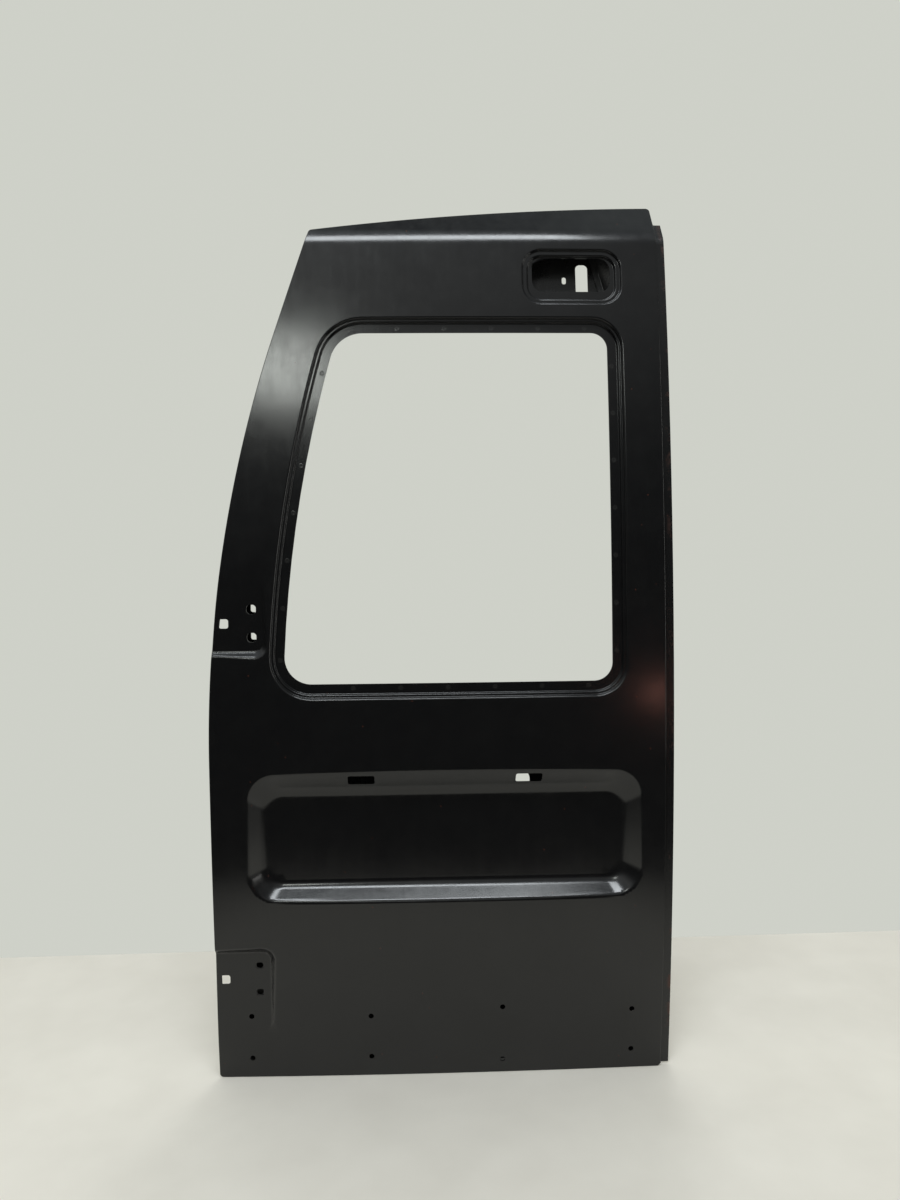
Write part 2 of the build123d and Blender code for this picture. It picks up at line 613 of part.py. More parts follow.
def hat_rail(place, height):
    """A hat-section rail: flanges on the inner panel, crown close behind the skin."""
    left = PANEL_HINGE_INSET + PANEL_SHEET + RAIL_END_GAP
    right = CLOSING_WALL_WIDTH - PANEL_SHEET - RAIL_END_GAP
    crown = SKIN_SHEET + RAIL_CROWN_GAP
    seat = PANEL_DEPTH - PANEL_SHEET - WELD_GAP

    def band(tall):
        return Pos((left + right) / 2, place) * Rectangle(right - left, tall)

    whole = layer(band(height + 2 * RAIL_FLANGE), seat - RAIL_SHEET, seat, rolled=False)
    hat = whole + layer(band(height), crown, seat, rolled=False)
    return hat - layer(band(height - 2 * RAIL_SHEET), crown + RAIL_SHEET, PANEL_DEPTH, rolled=False)


def hinge_plate(height, bolt_hole):
    """The thick plate behind one hinge pad, inside the panel's wall."""
    wall = edge_width(height + HINGE_PLATE_HEIGHT / 2) + PANEL_HINGE_INSET + PANEL_SHEET
    left = wall + HINGE_PLATE_MARGIN
    right = PAD_WIDTH - HINGE_PLATE_MARGIN
    outline = RectangleRounded(right - left, HINGE_PLATE_HEIGHT, HINGE_PLATE_MARGIN)
    plate = Pos((left + right) / 2, height) * outline
    holes = [Pos(HINGE_BOLT_WIDTH, height + side * HINGE_BOLT_PITCH / 2) for side in (-1, 1)]
    plate = plate - [hole * Circle(bolt_hole / 2) for hole in holes]
    seat = PAD_DEPTH + SKIN_SHEET
    return prism(plate, seat, seat + HINGE_PLATE_SHEET)


def latch_plate(height):
    """The plate welded inside the inner panel round one latch's opening."""
    plate = Pos(LATCH_WIDTH_PLACE, height) * Rectangle(LATCH_PLATE_WIDTH, LATCH_PLATE_HEIGHT)
    seat = PANEL_DEPTH - PANEL_SHEET - WELD_GAP
    plate = plate - latch_opening(height) - latch_bolts(height)
    return layer(plate, seat - LATCH_SHEET, seat, rolled=False)


def wall_plate(plane, tall, deep, sheet):
    """A flat plate against the inside of a side wall."""
    return extrude(plane * RectangleRounded(deep, tall, sheet), amount=sheet)


def striker_plate():
    """The tapped plate inside the closing wall."""
    inside = wall_plane(CLOSING_WALL_WIDTH - PANEL_SHEET - STRIKER_SHEET, STRIKER_HEIGHT)
    plate = wall_plate(inside, STRIKER_PLATE_HEIGHT, STRIKER_PLATE_DEPTH, STRIKER_SHEET)
    return plate - striker_holes()


def check_plate():
    """The check strap's plate inside the hinge wall."""
    inside = wall_plane(PANEL_HINGE_INSET + PANEL_SHEET, CHECK_HEIGHT)
    plate = wall_plate(inside, CHECK_PLATE_HEIGHT, CHECK_PLATE_DEPTH, CHECK_SHEET)
    return plate - check_cuts()


# Origin on the face of the lower hinge pad, midway between its bolts
FRAME = Pos(-HINGE_CENTRE_WIDTH, -PAD_DEPTH, -LOWER_HINGE_HEIGHT)
NODES = {
    "outer_skin": outer_skin(),
    "inner_panel": inner_panel(),
    "closing_flange": closing_flange(),
    "upper_hinge_plate": hinge_plate(UPPER_HINGE_HEIGHT, UPPER_PLATE_BOLT_HOLE),
    "lower_hinge_plate": hinge_plate(LOWER_HINGE_HEIGHT, LOWER_PLATE_BOLT_HOLE),
    "waist_rail": hat_rail(WAIST_RAIL_HEIGHT_PLACE, WAIST_RAIL_HEIGHT),
    "lower_rail": hat_rail(LOWER_RAIL_HEIGHT_PLACE, LOWER_RAIL_HEIGHT),
    "upper_latch_plate": latch_plate(UPPER_LATCH_HEIGHT),
    "lower_latch_plate": latch_plate(LOWER_LATCH_HEIGHT),
    "striker_plate": striker_plate(),
    "check_strap_plate": check_plate(),
}
os.makedirs("parts", exist_ok=True)
for name, solid in NODES.items():
    export_step(FRAME * solid, f"parts/{name}.step")
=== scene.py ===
import math

import bpy
import numpy as np
from mathutils import Matrix, Quaternion, Vector
from mathutils.geometry import delaunay_2d_cdt


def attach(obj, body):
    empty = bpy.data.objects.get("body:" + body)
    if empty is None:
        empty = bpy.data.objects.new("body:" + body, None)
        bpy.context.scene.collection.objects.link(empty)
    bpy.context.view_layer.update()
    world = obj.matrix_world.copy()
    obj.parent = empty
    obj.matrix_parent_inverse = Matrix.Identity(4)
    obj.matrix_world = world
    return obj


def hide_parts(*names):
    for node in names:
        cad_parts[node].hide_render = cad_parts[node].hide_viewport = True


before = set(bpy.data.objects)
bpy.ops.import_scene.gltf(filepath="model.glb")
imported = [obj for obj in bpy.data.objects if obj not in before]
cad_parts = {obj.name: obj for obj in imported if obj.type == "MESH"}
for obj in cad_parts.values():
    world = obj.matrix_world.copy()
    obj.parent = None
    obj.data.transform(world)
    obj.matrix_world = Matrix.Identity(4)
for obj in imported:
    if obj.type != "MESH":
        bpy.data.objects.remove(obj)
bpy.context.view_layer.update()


# ---- Dip primer: the finish that every pressed sheet shares ----
# The bare shell is dipped in black electro-coat primer and baked. It dries thin and semi-gloss, with
# a fine orange peel. Storage leaves dust on faces that look up, hairline scuffs, dull patches and a
# few specks of flash rust.
def shader(tree, kind, inputs=(), **settings):
    """One shader node, with its constants set on its sockets and its links made."""
    node = tree.nodes.new("ShaderNode" + kind)
    for name, value in settings.items():
        setattr(node, name, value)
    for socket, value in dict(inputs).items():
        if isinstance(value, bpy.types.NodeSocket):
            tree.links.new(value, node.inputs[socket])
        else:
            node.inputs[socket].default_value = value
    return node


def ramp(tree, factor, *stops):
    """A ramp through stops of (place, level), where a level is a grey or a colour."""
    node = shader(tree, "ValToRGB", {"Fac": factor})
    bar = node.color_ramp.elements
    while len(bar) < len(stops):
        bar.new(0.5)
    for element, (place, level) in zip(bar, stops):
        element.position = place
        element.color = (*level, 1) if isinstance(level, tuple) else (level, level, level, 1)
    return node.outputs["Color"]


def blend(tree, factor, under, over):
    """One colour laid over another by a factor."""
    node = shader(tree, "Mix", data_type="RGBA")
    sockets = [socket for socket in node.inputs if socket.enabled]
    for socket, value in zip(sockets, (factor, under, over)):
        if isinstance(value, bpy.types.NodeSocket):
            tree.links.new(value, socket)
        else:
            socket.default_value = value
    return [socket for socket in node.outputs if socket.enabled][0]


def maths(tree, operation, first, second):
    """One sum or product of two values."""
    return shader(tree, "Math", {0: first, 1: second}, operation=operation).outputs[0]


def noise(tree, place, scale, detail, roughness=0.5):
    """Cloudy noise over a surface, as a value."""
    settings = {"Vector": place, "Scale": scale, "Detail": detail, "Roughness": roughness}
    return shader(tree, "TexNoise", settings).outputs["Fac"]


def streaks(tree, place, scale, detail, turn=(0.0, 0.0, 0.0), roughness=0.5):
    """Noise drawn out along an axis, as a value."""
    drawn = shader(tree, "Mapping", {"Vector": place, "Rotation": turn, "Scale": scale})
    return noise(tree, drawn.outputs[0], 1.0, detail, roughness)


primer = bpy.data.node_groups.new("dip_primer", "ShaderNodeTree")
for way, sockets in (("INPUT", (("Coat", "Color"), ("Gloss Loss", "Float"), ("Dust", "Float"))),
                     ("OUTPUT", (("Color", "Color"), ("Roughness", "Float"), ("Height", "Float")))):
    for name, kind in sockets:
        primer.interface.new_socket(name, in_out=way, socket_type="NodeSocket" + kind)
given = primer.nodes.new("NodeGroupInput").outputs
place = shader(primer, "TexCoord").outputs["Object"]
peel = noise(primer, place, 620.0, 2.0)
waves = noise(primer, place, 7.0, 4.0)
wipes = streaks(primer, place, (130.0, 130.0, 7.0), 6.0)
film = noise(primer, place, 31.0, 8.0, 0.7)
normal = shader(primer, "NewGeometry").outputs["Normal"]
rising = shader(primer, "SeparateXYZ", {0: normal}).outputs["Z"]
upward = ramp(primer, rising, (0.0, 0.30), (0.75, 1.0))
dusty = maths(primer, "MULTIPLY", ramp(primer, film, (0.40, 0.0), (0.72, 1.0)), upward)
dusty = maths(primer, "MULTIPLY", dusty, given["Dust"])
scuff = streaks(primer, place, (520.0, 520.0, 16.0), 3.0, turn=(0.3, 0.55, 0.0))
rubbed = noise(primer, place, 4.3, 2.0)
scuffed = maths(primer, "MULTIPLY", ramp(primer, scuff, (0.69, 0.0), (0.75, 1.0)),
                ramp(primer, rubbed, (0.58, 0.0), (0.70, 1.0)))
grains = shader(primer, "TexVoronoi", {"Vector": place, "Scale": 95.0}).outputs
chance = shader(primer, "SeparateColor", {0: grains["Color"]}).outputs[0]
speck = maths(primer, "MULTIPLY", ramp(primer, grains["Distance"], (0.05, 1.0), (0.13, 0.0)),
              ramp(primer, chance, (0.955, 0.0), (0.97, 1.0)))
colour = given["Coat"]
for mask, share, tint in ((dusty, 0.045, (0.20, 0.20, 0.19, 1)),
                          (scuffed, 0.22, (0.06, 0.06, 0.062, 1)),
                          (speck, 0.8, (0.085, 0.026, 0.014, 1))):
    colour = blend(primer, maths(primer, "MULTIPLY", mask, share), colour, tint)
wiped = ramp(primer, wipes, (0.40, 0.0), (0.68, 1.0))
rough = maths(primer, "MULTIPLY", ramp(primer, waves, (0.34, 0.0), (0.70, 1.0)), 0.035)
for mask, share in ((wiped, 0.022), (dusty, 0.16), (scuffed, 0.16)):
    rough = maths(primer, "ADD", rough, maths(primer, "MULTIPLY", mask, share))
rough = maths(primer, "ADD", rough, given["Gloss Loss"])
height = maths(primer, "ADD", maths(primer, "MULTIPLY", peel, 0.35),
               maths(primer, "MULTIPLY", waves, 0.6))
height = maths(primer, "SUBTRACT", height, maths(primer, "MULTIPLY", scuffed, 0.5))
results = primer.nodes.new("NodeGroupOutput").inputs
for name, value in (("Color", colour), ("Roughness", rough), ("Height", height)):
    primer.links.new(value, results[name])


# ---- Outer skin ----
# One sheet of 0.8 mm steel drawn into a crown, with the window rebate, lamp pocket, number-plate
# recess and hinge pads pressed in. Its edge is folded flat round the inner panel's flange, then the
# whole shell is primed black. Sizes are in millimetres from the door's lower left corner.
door_corner = np.array((40.5, 25.0, 158.5))
door_width, door_height = 686.0, 1344.5
sheet, hem = 0.8, 1.3
side_radius, side_apex = 4787.0, 408.0
plan_radius, plan_apex = 11900.0, 560.0
roll_level, roll_radius, roll_turn = 1274.25, 65.0, math.radians(26.07)
roll_angle = math.asin((roll_level - side_apex) / side_radius)
lip_angle = roll_angle + roll_turn
roll_y = side_radius + (roll_radius - side_radius) * math.cos(roll_angle)
roll_z = roll_level - roll_radius * math.sin(roll_angle)
lip_y = roll_y - roll_radius * math.cos(lip_angle)
lip_z = roll_z + roll_radius * math.sin(lip_angle)
recess_x, recess_z, recess_depth = 352.0, 374.5, 25.0
recess_floor, floor_slope_x, floor_slope_z = 26.94, 0.0175, 0.007
floor_half_x, floor_half_z, floor_corner = 274.0, 71.5, 28.0
wall_x, wall_z, wall_lift, wall_corner = 28.0, 29.5, 7.5, 16.0
floor_root, recess_rim = 7.0, 2.6
lowest_share, highest_share, halvings = -1.2, 4.0, 40
upper_pad, lower_pad, pad_depth = 704.5, 158.5, 25.0
pad_reach, pad_half, pad_corner, pad_root, pad_rim = 82.0, 42.0, 12.0, 1.2, 2.0
hinge_pads = ((upper_pad, -1), (lower_pad, 1))


def crown(x, z):
    """Depth of the plain outer face, in millimetres from its most proud point."""
    side = side_radius - np.sqrt(side_radius**2 - (np.minimum(z, roll_level) - side_apex) ** 2)
    roll = roll_y - np.sqrt(roll_radius**2 - (np.clip(z, roll_level, lip_z) - roll_z) ** 2)
    lip = lip_y + (z - lip_z) * math.tan(lip_angle)
    profile = np.where(z <= roll_level, side, np.where(z <= lip_z, roll, lip))
    return plan_radius - np.sqrt((plan_radius - profile) ** 2 - (x - plan_apex) ** 2)


def soft_max(first, second, width):
    """The greater of two depths, rounded over where they meet."""
    near = np.maximum(width - np.abs(first - second), 0) / width
    return np.maximum(first, second) + near * near * width / 4


def round_corner(across, along, radius):
    """Distance outside a corner that is rounded to a radius."""
    across, along = across + radius, along + radius
    outside = np.hypot(np.maximum(across, 0), np.maximum(along, 0))
    return outside + np.minimum(np.maximum(across, along), 0) - radius


def plate_share(x, z):
    """How far up the number-plate recess's wall a place lies: 0 at the floor, 1 at the rim."""
    u, v = x - recess_x, z - recess_z
    low, high = np.full_like(u, lowest_share), np.full_like(u, highest_share)
    for _ in range(halvings):
        share = (low + high) / 2
        across = np.abs(u) - floor_half_x - wall_x * share
        along = np.abs(v - wall_lift * share) - floor_half_z - wall_z * share
        out = round_corner(across, along, floor_corner + wall_corner * share) > 0
        low, high = np.where(out, share, low), np.where(out, high, share)
    return share


def hinge_pad(x, z, level, side):
    """Distance outside one hinge pad's flat, with its stepped end above or below."""
    return round_corner(x - pad_reach, (z - level) * side - pad_half, pad_corner)


def skin_depth(x, z):
    """Depth of the pressed outer face, without the window rebate and the lamp pocket."""
    base = recess_floor - floor_slope_x * (x - recess_x) - floor_slope_z * (z - recess_z)
    recess = base - soft_max(recess_depth * plate_share(x, z), 0.0, floor_root)
    depth = soft_max(crown(x, z), recess, recess_rim)
    for level, side in hinge_pads:
        pad = pad_depth - soft_max(hinge_pad(x, z, level, side), 0.0, pad_root)
        depth = soft_max(depth, pad, pad_rim)
    return depth


def unit(rows):
    """Directions brought to length one."""
    return rows / np.linalg.norm(rows, axis=-1, keepdims=True)


def upright(flat):
    """Directions within the door's outline, set up in space."""
    return np.stack((flat[:, 0], np.zeros(len(flat)), flat[:, 1]), axis=-1)


def facing_out(depth, x, z, step=0.02):
    """Unit normals of a face given by its depth, looking out of the vehicle."""
    along_x = (depth(x + step, z) - depth(x - step, z)) / (2 * step)
    along_z = (depth(x, z + step) - depth(x, z - step)) / (2 * step)
    return unit(np.stack((along_x, -np.ones_like(x), along_z), axis=-1))


def trace(pieces, spacing, widest_turn=math.radians(8)):
    """Points and outward directions along a clockwise outline of straight and round pieces."""
    points, outward = [], []
    for piece in pieces:
        if len(piece) == 2:
            start, end = np.array(piece[0]), np.array(piece[1])
            run = end - start
            count = max(1, math.ceil(np.linalg.norm(run) / spacing))
            share = np.arange(count)[:, None] / count
            points.append(start + run * share)
            outward.append(np.repeat([(-run[1], run[0])], count, axis=0) / np.linalg.norm(run))
        else:
            centre, radius, first, last = piece
            turn = abs(last - first)
            count = max(2, math.ceil(radius * turn / spacing), math.ceil(turn / widest_turn))
            angle = first + (last - first) * np.arange(count) / count
            outward.append(np.stack((np.cos(angle), np.sin(angle)), axis=-1))
            points.append(np.array(centre) + radius * outward[-1])
    return np.concatenate(points), np.concatenate(outward)


def rounded_box(width, height, radius, spacing):
    """A clockwise rounded rectangle about the origin, and its outward directions."""
    u, v, quarter = width / 2 - radius, height / 2 - radius, math.pi / 2
    corners = [((-u, -v), 3), ((-u, v), 2), ((u, v), 1), ((u, -v), 0)]
    pieces = []
    for (centre, turn), (following, _) in zip(corners, corners[1:] + corners[:1]):
        last = (turn - 1) * quarter
        pieces.append((centre, radius, turn * quarter, last))
        out = radius * np.array((math.cos(last), math.sin(last)))
        if np.linalg.norm(np.subtract(following, centre)) > 0.01:
            pieces.append((np.add(centre, out), np.add(following, out)))
    return trace(pieces, spacing)


spots, normals, faces = [], [], []


def add_points(places, facings):
    """Add points of the front face and say which numbers they have."""
    first = sum(len(group) for group in spots)
    spots.append(np.asarray(places, dtype=float))
    normals.append(np.asarray(facings, dtype=float))
    return np.arange(first, first + len(places))


def add_strip(inner, outer):
    """Join two closed loops, the second one outside or further round than the first."""
    faces.extend(zip(inner, np.roll(inner, -1), np.roll(outer, -1), outer))


def bend(centre, radius, first, last, count, sign):
    """Steps round one bend of a pressed section, as offset, depth and the way each looks."""
    steps = []
    for angle in np.radians(np.linspace(first, last, count)):
        along, into = math.cos(angle), math.sin(angle)
        steps.append((centre[0] + radius * along, centre[1] + radius * into,
                      sign * along, sign * into))
    return steps


# Window opening: flange, wall, narrow land, wall and rim, from the opening outwards
window_low, window_high, window_right = 612.0, 1139.0, 607.0
low_left_radius, high_left_radius, high_right_radius, low_right_radius = 40.0, 50.0, 25.0, 28.0
bow_middle, bow_rise, chord = np.array((154.5, 875.5)), 17.0, np.array((85.0, 527.0))
bow_radius = (chord @ chord / 4 + bow_rise**2) / (2 * bow_rise)
inward = np.array((chord[1], -chord[0]))
bow_centre = bow_middle + (bow_radius - bow_rise) * inward / np.linalg.norm(chord)
rebate_depth, flange_width, rim_offset, rim_radius = 11.0, 7.0, 23.4, 3.4


def bow_corner(level, radius):
    """Centre of the corner between the bowed side and a level edge, and the angle where they meet."""
    x = bow_centre[0] - math.sqrt((bow_radius - radius) ** 2 - (level - bow_centre[1]) ** 2)
    return (x, level), math.atan2(level - bow_centre[1], x - bow_centre[0])


half_turn = math.pi
low_left, low_angle = bow_corner(window_low + low_left_radius, low_left_radius)
high_left, high_angle = bow_corner(window_high - high_left_radius, high_left_radius)
high_right = (window_right - high_right_radius, window_high - high_right_radius)
low_right = (window_right - low_right_radius, window_low + low_right_radius)
window, window_out = trace([
    (low_left, low_left_radius, 1.5 * half_turn, low_angle),
    (bow_centre, bow_radius, low_angle, high_angle),
    (high_left, high_left_radius, high_angle, 0.5 * half_turn),
    ((high_left[0], window_high), (high_right[0], window_high)),
    (high_right, high_right_radius, 0.5 * half_turn, 0.0),
    ((window_right, high_right[1]), (window_right, low_right[1])),
    (low_right, low_right_radius, 0.0, -0.5 * half_turn),
    ((low_right[0], window_low), (low_left[0], window_low)),
], spacing=9.0)
section = [(0.0, rebate_depth, 0, -1), (flange_width, rebate_depth, 0, -1)]
section += bend((13.5, 9.5), 1.5, 90, 0, 5, -1)
section += bend((17.0, 7.6), 2.0, 180, 270, 6, 1)
section += bend((18.5, 4.1), 1.5, 90, 0, 5, -1)
section += bend((rim_offset, rim_radius), rim_radius, 180, 270, 9, 1)
before = None
for offset, deep, along, into in section:
    x, z = (window + window_out * offset).T
    out = facing_out(crown, x, z)
    y = crown(x, z) - deep / out[:, 1]
    facing = along * upright(window_out) - into * out
    loop = add_points(np.stack((x, y, z), axis=-1), unit(facing))
    if before is not None:
        add_strip(before, loop)
    before = loop
window_rim = before

# Stop-lamp pocket: a seat round the hole, a step, a ring and the rim, square to the leaning face
lamp_x, lamp_z, lamp_steps = 554.0, 1224.0, 160
hole_size, hole_lift, pocket_size = (120.0, 53.0, 17.0), (0.0, 6.0), (150.0, 84.0, 29.0)
seat_depth, ring_depth = 8.5, 4.0
lamp_side = math.asin((lamp_z - side_apex) / side_radius)
lamp_plan = math.asin((lamp_x - plan_apex) / plan_radius)
lamp_out = np.array((math.sin(lamp_plan) * math.cos(lamp_side),
                     -math.cos(lamp_plan) * math.cos(lamp_side), math.sin(lamp_side)))
lamp_across = np.array((math.cos(lamp_plan), math.sin(lamp_plan), 0.0))
lamp_up = np.cross(lamp_out, lamp_across)
lamp_place = np.array((lamp_x, float(crown(lamp_x, lamp_z)), lamp_z))


def even(points, directions):
    """The same outline in equal steps by angle, so that a pocket's loops match point for point."""
    angle = np.unwrap(np.arctan2(points[:, 1], points[:, 0]))
    order, start, whole = np.argsort(angle), angle.min(), 2 * math.pi
    wanted = np.linspace(start, start + whole, lamp_steps, endpoint=False)[::-1]
    period = start + (wanted - start) % whole
    known = np.append(angle[order], start + whole)
    columns = [np.interp(period, known, np.append(column[order], column[order][0]))
               for column in (*points.T, *directions.T)]
    return np.stack(columns[:2], axis=-1), np.stack(columns[2:], axis=-1)


hole, _ = even(*rounded_box(*hole_size, spacing=1.0))
pocket, pocket_out = even(*rounded_box(*pocket_size, spacing=1.0))
section = bend((-9.5, 7.0), 1.5, 90, 0, 5, -1) + bend((-5.5, 6.5), 2.5, 180, 270, 6, 1)
section += bend((-1.5, 2.5), 1.5, 90, 0, 5, -1) + bend((2.5, 2.5), 2.5, 180, 270, 7, 1)
before = None
for offset, deep, along, into in [(None, seat_depth, 0, -1)] + section:
    flat = hole + hole_lift if offset is None else pocket + pocket_out * offset
    sideways = pocket_out[:, :1] * lamp_across + pocket_out[:, 1:] * lamp_up
    spot = lamp_place + flat[:, :1] * lamp_across + flat[:, 1:] * lamp_up
    sunk = 0.0
    if deep < ring_depth + 0.01:
        sunk = (crown(spot[:, 0], spot[:, 2]) - spot[:, 1])[:, None]
    spot = spot - lamp_out * (deep + sunk * (1 - deep / ring_depth))
    loop = add_points(spot, unit(along * sideways - into * lamp_out))
    if before is not None:
        add_strip(before, loop)
    before = loop
lamp_rim = before

# Outer edge and the small holes that the open face runs up to
lean, lean_level, lean_radius = math.radians(18.0), 492.0, 2083.0
edge_corner, roof_x, roof_radius = 6.0, 777.0, 4220.0
lean_start = np.array((lean_radius * (1 - math.cos(lean)), lean_level + lean_radius * math.sin(lean)))
lean_run = np.array((math.sin(lean), math.cos(lean)))
lean_in = np.array((math.cos(lean), -math.sin(lean)))
roof = np.array((roof_x, door_height - math.sqrt(roof_radius**2 - (roof_x - door_width) ** 2)))
inner_roof, right_x = roof_radius - edge_corner, door_width - edge_corner
from_roof = lean_start + edge_corner * lean_in - roof
reach = from_roof @ lean_run
run = math.sqrt(reach**2 + inner_roof**2 - from_roof @ from_roof) - reach
top_left = lean_start + edge_corner * lean_in + run * lean_run
top_right = np.array((right_x, roof[1] + math.sqrt(inner_roof**2 - (roof_x - right_x) ** 2)))
left_angle = math.atan2(*(top_left - roof)[::-1])
right_angle = math.atan2(*(top_right - roof)[::-1])
edge, edge_out = trace([
    ((edge_corner, edge_corner), edge_corner, 1.5 * half_turn, half_turn),
    ((0.0, edge_corner), (0.0, lean_level)),
    ((lean_radius, lean_level), lean_radius, half_turn, half_turn - lean),
    (lean_start, top_left - edge_corner * lean_in),
    (top_left, edge_corner, half_turn - lean, left_angle),
    (roof, roof_radius, left_angle, right_angle),
    (top_right, edge_corner, right_angle, 0.0),
    ((door_width, top_right[1]), (door_width, edge_corner)),
    ((right_x, edge_corner), edge_corner, 0.0, -0.5 * half_turn),
    ((right_x, 0.0), (edge_corner, 0.0)),
], spacing=7.0)
lamp_slot, slot_level, slot_places = (40.0, 15.0, 3.0), 467.0, (225.5, 478.5)
upper_bolt, lower_bolt = (14.0, 14.0, 3.5), (12.0, 9.5, 2.0)
bolt_x, bolt_half, toe_x, trim_radius = 66.0, 21.0, 14.0, 4.0
holes = [rounded_box(*lamp_slot, spacing=2.5)[0] + (x, slot_level) for x in slot_places]
for size, level in ((upper_bolt, upper_pad), (lower_bolt, lower_pad)):
    outline = rounded_box(*size, spacing=2.0)[0]
    holes += [outline + (bolt_x, level + side * bolt_half) for side in (-1, 1)]
lean_rise = lean_radius - math.sqrt(lean_radius**2 - (upper_pad - lean_level) ** 2)
for place in ((toe_x, lower_pad), (toe_x + lean_rise, upper_pad)):
    holes.append(rounded_box(*upper_bolt, spacing=2.0)[0] + place)
trim = [(x, z) for x in (52.0, 235.0, 638.0) for z in (32.0, 99.0)]
trim += [(437.0, 22.0), (437.0, 109.0)]
for place in trim:
    holes.append(trace([(place, trim_radius, 2 * half_turn, 0.0)], spacing=1.4)[0])
lamp_ring = np.concatenate(spots)[lamp_rim][:, (0, 2)]
loops = [edge - edge_out * hem, window + window_out * rim_offset, lamp_ring] + holes


def within(points, loop):
    """Which points lie inside a closed loop."""
    inside = np.zeros(len(points), dtype=bool)
    across, level = points.T
    for (x0, z0), (x1, z1) in zip(loop, np.roll(loop, -1, axis=0)):
        if z0 != z1:
            crosses = (level > min(z0, z1)) & (level <= max(z0, z1))
            inside ^= crosses & (across < x0 + (level - z0) * (x1 - x0) / (z1 - z0))
    return inside


def on_sheet(points):
    """Which points lie on the open face, inside the edge and outside all holes."""
    found = within(points, loops[0])
    for loop in loops[1:]:
        found &= ~within(points, loop)
    return found


def grid(spacing_x, spacing_z, low, high):
    """Points in staggered rows between two corners."""
    rows = np.arange(low[1], high[1], spacing_z)
    x = np.arange(low[0], high[0], spacing_x)
    found = [np.stack((x + (row % 2) * spacing_x / 2, np.full_like(x, level)), axis=-1)
             for row, level in enumerate(rows)]
    return np.concatenate(found)


wall_margin, step_inside, step_outside, step_height = 6.0, 4.0, 14.0, 120.0


def is_fine(points):
    """Which places need close points: the recess walls and the steps of the hinge pads."""
    x, z = points.T
    rise = recess_depth * plate_share(x, z)
    fine = (rise > -wall_margin) & (rise < recess_depth + wall_margin)
    for level, side in hinge_pads:
        beyond = hinge_pad(x, z, level, side)
        stepped = (beyond > -step_inside) & (beyond < step_outside)
        fine |= stepped & (np.abs(z - level) < step_height)
    return fine


field_left, field_right, field_low, field_high = 2.0, 684.0, 2.0, 1342.0
pressed_low, pressed_high, roll_left, roll_low, roll_high = 90.0, 760.0, 100.0, 1270.0, 1314.0
coarse = grid(12.0, 11.0, (field_left, field_low), (field_right, field_high))
close = grid(3.4, 3.0, (field_left, pressed_low), (field_right, pressed_high))
rolled = grid(9.0, 2.4, (roll_left, roll_low), (field_right, roll_high))
off_roll = (coarse[:, 1] < roll_low) | (coarse[:, 1] > roll_high)
coarse = coarse[~is_fine(coarse) & off_roll]
filling = np.concatenate((coarse, close[is_fine(close)], rolled))
filling = filling[on_sheet(filling)]
marks = np.concatenate(loops)
clear, clearance, batch = np.ones(len(filling), dtype=bool), 1.6, 1000
for first in range(0, len(filling), batch):
    apart = filling[first:first + batch, None] - marks[None]
    clear[first:first + batch] = np.linalg.norm(apart, axis=2).min(axis=1) > clearance
flat = np.concatenate((marks, filling[clear]))
links, first = [], 0
for loop in loops:
    links += [(first + i, first + (i + 1) % len(loop)) for i in range(len(loop))]
    first += len(loop)
corners, whole_hull, same_place = [Vector(place) for place in flat], 0, 1e-5
_, _, cells, origin, _, _ = delaunay_2d_cdt(corners, links, [], whole_hull, same_place)
cells = np.array([[origin[corner][0] for corner in cell] for cell in cells])
cells = cells[on_sheet(flat[cells].mean(axis=1))]
x, z = flat.T
open_face = np.stack((x, skin_depth(x, z), z), axis=-1)
number = np.empty(len(flat), dtype=int)
edge_count, window_count, lamp_count = (len(loop) for loop in loops[:3])
shared = edge_count + window_count + lamp_count
number[edge_count:edge_count + window_count] = window_rim
number[edge_count + window_count:shared] = lamp_rim
fresh = np.r_[0:edge_count, shared:len(flat)]
number[fresh] = add_points(open_face[fresh], facing_out(skin_depth, x[fresh], z[fresh]))
faces += [tuple(cell) for cell in number[cells]]
front_edge = number[:edge_count]

# Back of the sheet, the cut edges of the holes and the hem
front, looks = np.concatenate(spots), np.concatenate(normals)
count = len(front)
back = front - sheet * looks
used = dict.fromkeys((a, b) for face in faces for a, b in zip(face, face[1:] + face[:1]))
cut = [(a, b) for a, b in used if (b, a) not in used]
hemmed = set(front_edge.tolist())
points, directions = [front, back], [looks, -looks]
sheets = list(faces) + [tuple(count + corner for corner in face[::-1]) for face in faces]
total = 2 * count
for a, b in cut:
    if a in hemmed and b in hemmed:
        continue
    side = np.cross(front[b] - front[a], looks[a])
    side = side / max(np.linalg.norm(side), 1e-9)
    points.append(np.array((front[b], front[a], back[a], back[b])))
    directions.append(np.repeat([side], 4, axis=0))
    sheets.append((total, total + 1, total + 2, total + 3))
    total += 4
hem_steps = [(hem - hem * math.sin(turn), hem - hem * math.cos(turn), math.sin(turn), -math.cos(turn))
             for turn in np.radians((30, 60, 90, 120, 150, 180))]
fold_width, cut_inset, cut_depth = 5.5, 5.6, 1.9
hem_steps += [(fold_width, 2 * hem, 0, 1), (cut_inset, cut_depth, -1, 0)]
before = front_edge
for inset, deep, along, into in hem_steps:
    x, z = (edge - edge_out * inset).T
    out = facing_out(skin_depth, x, z)
    points.append(np.stack((x, skin_depth(x, z), z), axis=-1) - out * deep)
    directions.append(unit(along * upright(edge_out) - into * out))
    loop = np.arange(total, total + edge_count)
    sheets += list(zip(before, np.roll(before, -1), np.roll(loop, -1), loop))
    total += edge_count
    before = loop


